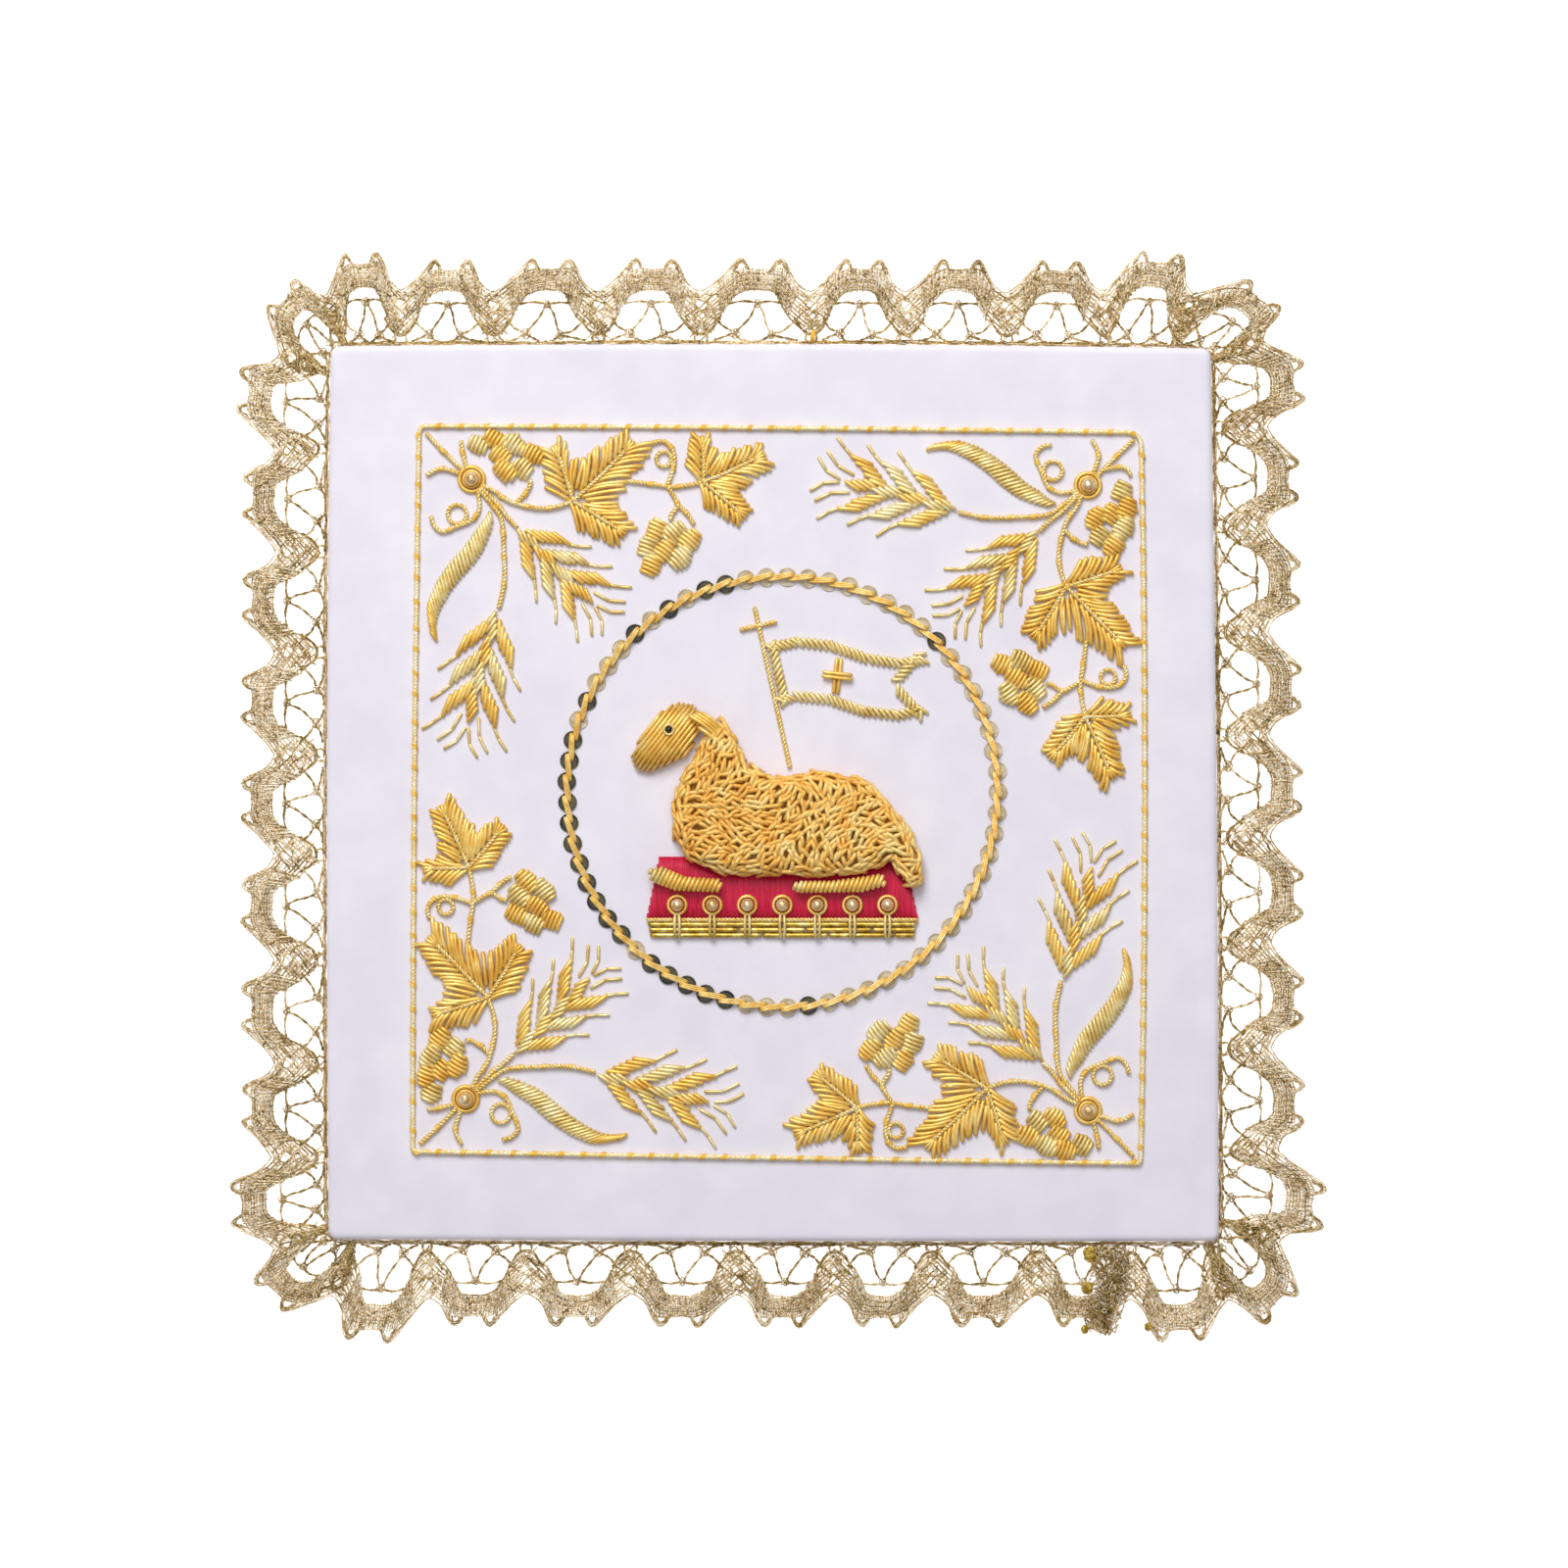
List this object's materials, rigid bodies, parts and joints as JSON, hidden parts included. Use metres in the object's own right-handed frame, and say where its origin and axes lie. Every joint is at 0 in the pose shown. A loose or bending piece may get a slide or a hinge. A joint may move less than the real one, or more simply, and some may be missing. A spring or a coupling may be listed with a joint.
{
  "type": "chalice pall",
  "caption": "Stiffened square cloth cover for a chalice, with a goldwork figure in a sequin ring, corner sprigs in a cord border and a scalloped metallic lace edging",
  "frame": {"origin": "under the middle of the whole outline, on the plane the pall's back lies on", "axes": "+X to the right of the embroidered face, +Y to the face's top edge, +Z out of the embroidered face, the thin way"},
  "size_m": [0.2198, 0.2188, 0.0089],
  "materials": {
    "cloth": "fine satin weave",
    "lace": "metallic thread bobbin lace, softly shiny",
    "cord": "twisted metallic gold cord",
    "chips": "shiny coiled gold wire chips",
    "sequins": "translucent tan, glossy",
    "bead": "bright polished gold",
    "satin": "crimson silk satin stitch"
  },
  "bodies": {
    "root": {"panel": "cloth", "lace_edging": "lace", "border_cord": "cord", "sequin_band": "sequins", "medallion_cord": "cord", "stem_root_1": "cord", "stem_tip_1": "cord", "blade_1": "chips", "corner_bead_1": "bead", "leaf_a_1": "chips", "leaf_b_1": "chips", "grapes_a_1": "chips", "grapes_b_1": "chips", "wheat_a_1": "chips", "wheat_b_1": "chips", "stem_root_2": "cord", "stem_tip_2": "cord", "blade_2": "chips", "corner_bead_2": "bead", "leaf_a_2": "chips", "leaf_b_2": "chips", "grapes_a_2": "chips", "grapes_b_2": "chips", "wheat_a_2": "chips", "wheat_b_2": "chips", "stem_root_3": "cord", "stem_tip_3": "cord", "blade_3": "chips", "corner_bead_3": "bead", "leaf_a_3": "chips", "leaf_b_3": "chips", "grapes_a_3": "chips", "grapes_b_3": "chips", "wheat_a_3": "chips", "wheat_b_3": "chips", "stem_root_4": "cord", "stem_tip_4": "cord", "blade_4": "chips", "corner_bead_4": "bead", "leaf_a_4": "chips", "leaf_b_4": "chips", "grapes_a_4": "chips", "grapes_b_4": "chips", "wheat_a_4": "chips", "wheat_b_4": "chips", "book_cover": "satin", "book_pages": "chips", "seal_1": "bead", "seal_2": "bead", "seal_3": "bead", "seal_4": "bead", "seal_5": "bead", "seal_6": "bead", "seal_7": "bead", "lamb_body": "chips", "lamb_head": "chips", "lamb_foreleg": "chips", "lamb_hindleg": "chips", "staff": "cord", "banner": "chips"}
  },
  "joints": []
}
